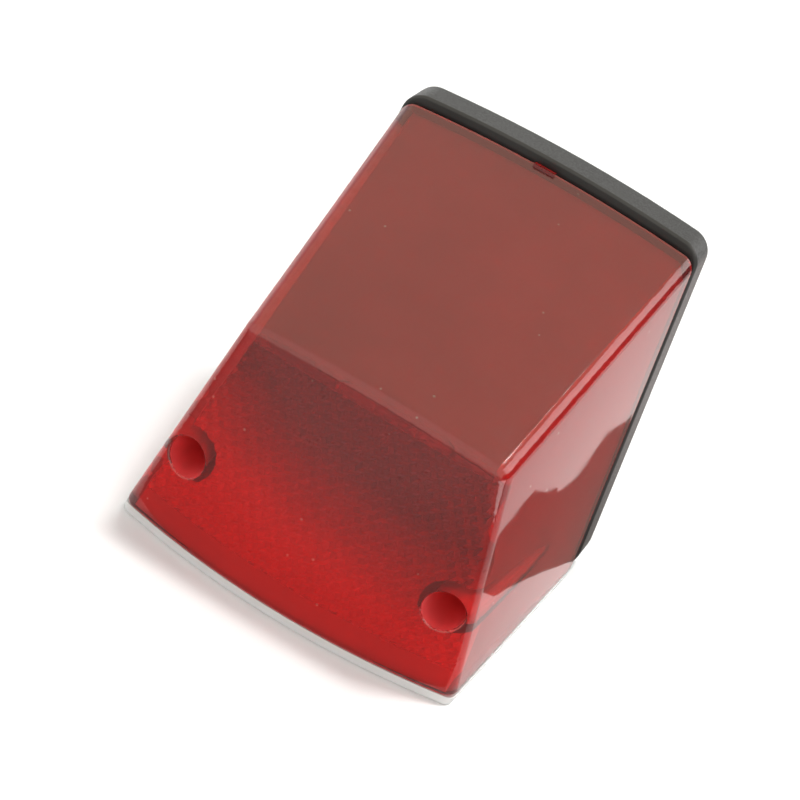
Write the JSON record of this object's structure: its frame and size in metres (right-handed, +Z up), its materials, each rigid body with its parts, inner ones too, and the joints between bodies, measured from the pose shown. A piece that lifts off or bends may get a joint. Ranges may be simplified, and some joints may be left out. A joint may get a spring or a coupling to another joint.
{
  "type": "motorcycle rear lamp",
  "caption": "Wedge-shaped rear lamp: red prismatic lens over a black moulded tray, clear plate window beneath, recessed lens screws, sprung bayonet bulb, rear mounting studs.",
  "frame": {"origin": "centre line of the lamp on the flat back face of its tray, level with the middle of the lens height", "axes": "+X across the lamp, +Y out of the mounting face towards the vehicle (the red lens faces -Y), +Z up"},
  "size_m": [0.074, 0.0867, 0.0755],
  "materials": {
    "red_lens": "polished translucent red",
    "clear_window": "polished clear",
    "black_plastic": "fine moulded grain",
    "foam_rubber": "matt foam",
    "aluminised_sheet": "bright aluminised",
    "plated_brass": "nickel plated",
    "bare_brass": "satin",
    "plated_steel": "zinc plated",
    "spring_steel": "drawn wire",
    "phenolic": "pressed laminate",
    "black_glass": "vitreous",
    "solder": "soft solder",
    "bulb_glass": "clear blown glass",
    "nickel_wire": "drawn wire",
    "tungsten": "coiled wire",
    "washer_rubber": "matt",
    "grommet_rubber": "semi matt"
  },
  "bodies": {
    "base": {"base_tray": "black_plastic", "lens_gasket": "foam_rubber", "reflector": "aluminised_sheet", "socket_shell": "plated_brass", "earth_strap": "bare_brass", "socket_rivets": "plated_steel", "contact_spring": "spring_steel", "threaded_inserts": "bare_brass", "mounting_studs": "plated_steel", "cable_grommet": "grommet_rubber"},
    "lens": {"lens_hood": "red_lens", "plate_window": "clear_window", "sealing_washers": "washer_rubber"},
    "screw_left": {"lens_screw_left": "plated_steel"},
    "screw_right": {"lens_screw_right": "plated_steel"},
    "contacts": {"contact_carrier": "phenolic", "contact_pips": "bare_brass"},
    "bulb": {"bulb_cap": "plated_brass", "bulb_pins": "plated_brass", "bulb_insulator": "black_glass", "bulb_solder_contacts": "solder", "bulb_glass": "bulb_glass", "bulb_stem": "bulb_glass", "bulb_leads": "nickel_wire", "bulb_filaments": "tungsten"}
  },
  "joints": [
    {"name": "lens_removal", "type": "slide", "parent": "base", "child": "lens", "axis": [0, -1, 0], "range_m": [0, 0.065]},
    {"name": "screw_left_turn", "type": "hinge", "parent": "lens", "child": "screw_left", "pos_m": [-0.0264, -0.015, -0.0184], "axis": [0, -1, 0], "continuous": true},
    {"name": "screw_right_turn", "type": "hinge", "parent": "lens", "child": "screw_right", "pos_m": [0.0264, -0.015, -0.0184], "axis": [0, -1, 0], "continuous": true},
    {"name": "bulb_push", "type": "slide", "parent": "base", "child": "bulb", "axis": [0, 1, 0], "range_m": [0, 0.0015], "stiffness_N_per_m": 3000, "springref_m": -0.0015},
    {"name": "contact_push", "type": "slide", "parent": "base", "child": "contacts", "axis": [0, 1, 0], "range_m": [0, 0.0015], "deforming": ["contact_spring"]}
  ],
  "couplings": [
    {"joint": "contact_push", "follows": "bulb_push", "ratio": 1}
  ]
}
